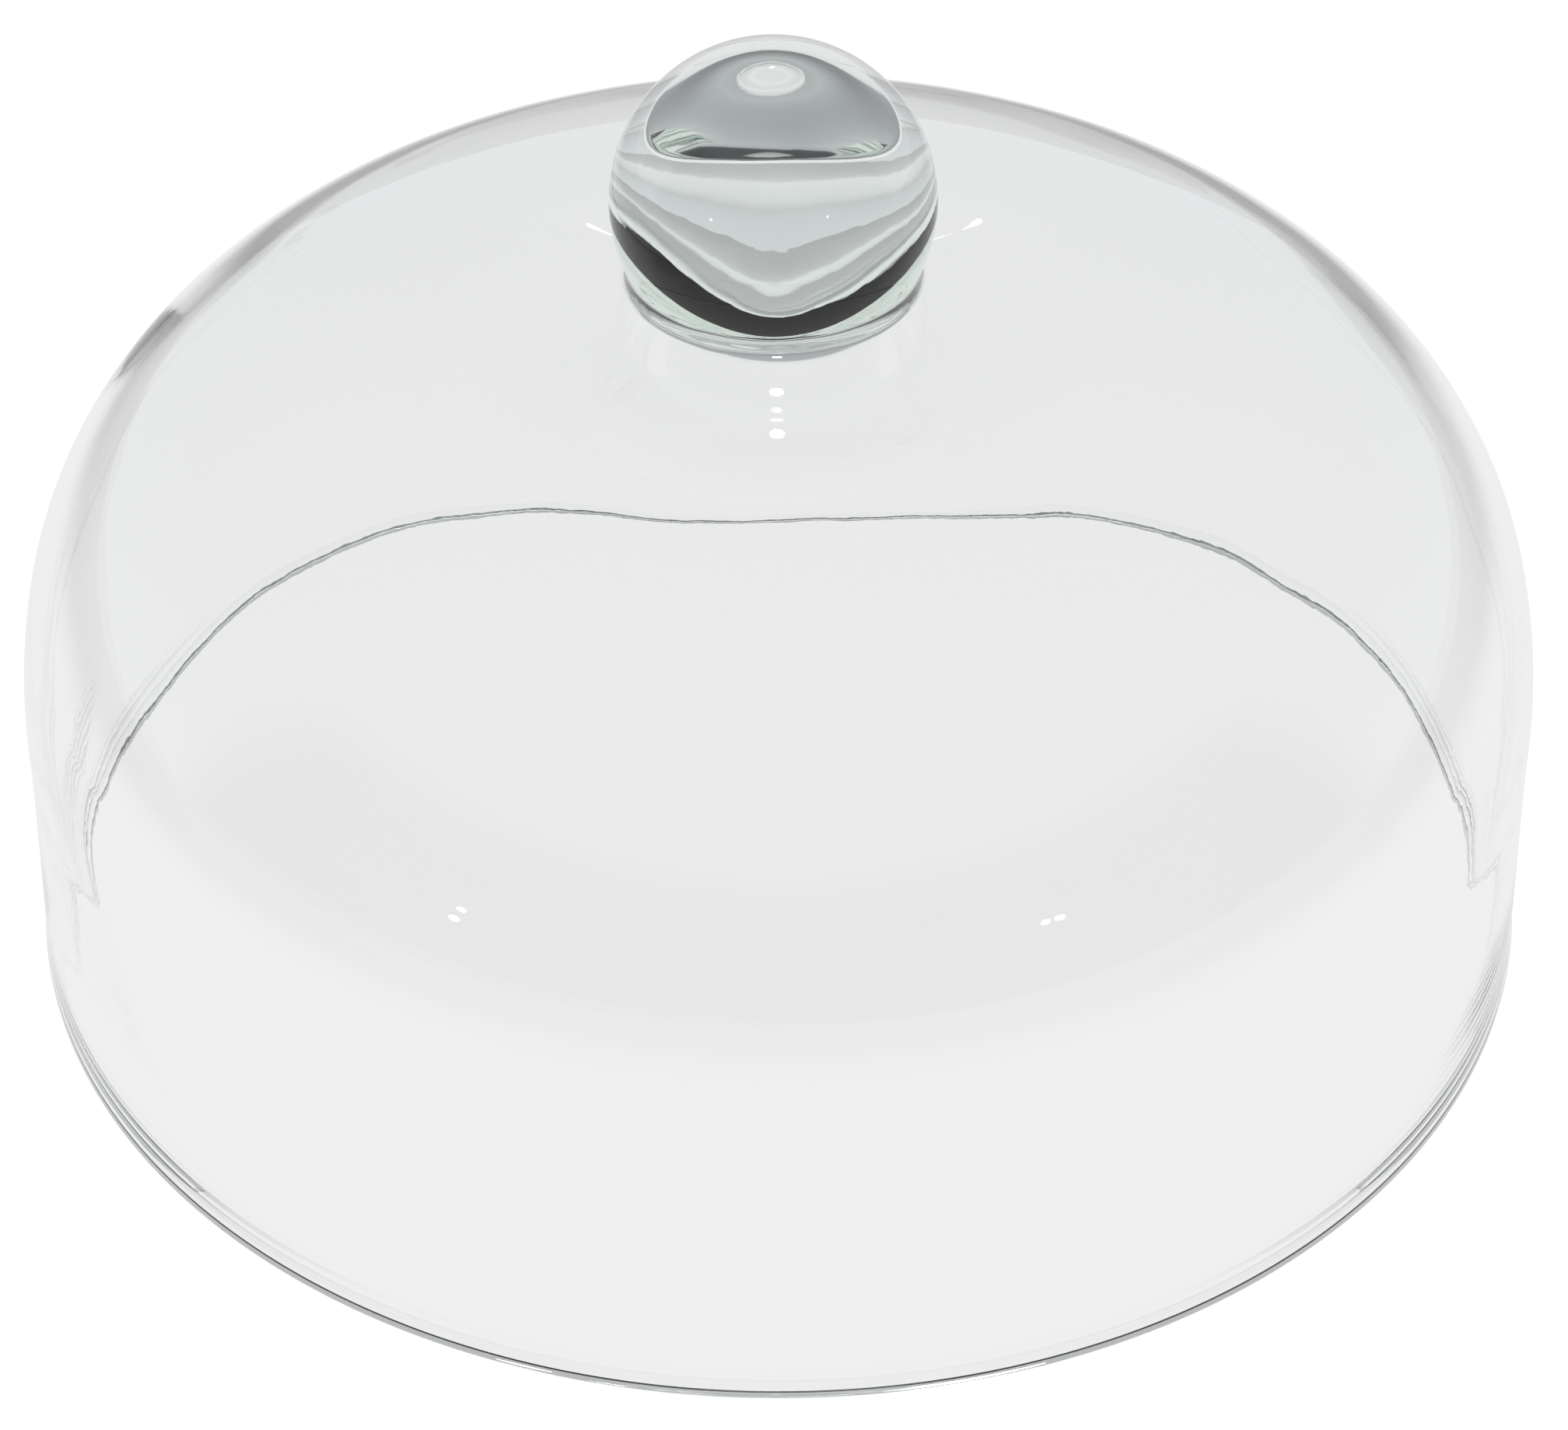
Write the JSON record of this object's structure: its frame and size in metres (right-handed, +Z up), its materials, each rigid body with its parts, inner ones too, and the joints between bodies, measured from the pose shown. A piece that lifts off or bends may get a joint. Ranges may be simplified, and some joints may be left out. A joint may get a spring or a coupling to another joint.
{
  "type": "bell jar dome",
  "caption": "Low clear glass bell with an upright wall, rounded shoulder and domed crown, lifted by a solid glass ball knob; stands on its fire-polished rim.",
  "frame": {"origin": "centre of the rim, on the plane that the rim stands on", "axes": "+Z up along the axis of the bell, through the middle of the knob"},
  "size_m": [0.2888, 0.2888, 0.184],
  "materials": {
    "dome_glass": "clear, fire polished",
    "knob_glass": "clear solid glass with a faint green tint",
    "bond_adhesive": "clear cured film"
  },
  "bodies": {
    "root": {"dome_shell": "dome_glass", "knob": "knob_glass", "bond_film": "bond_adhesive"}
  },
  "joints": []
}
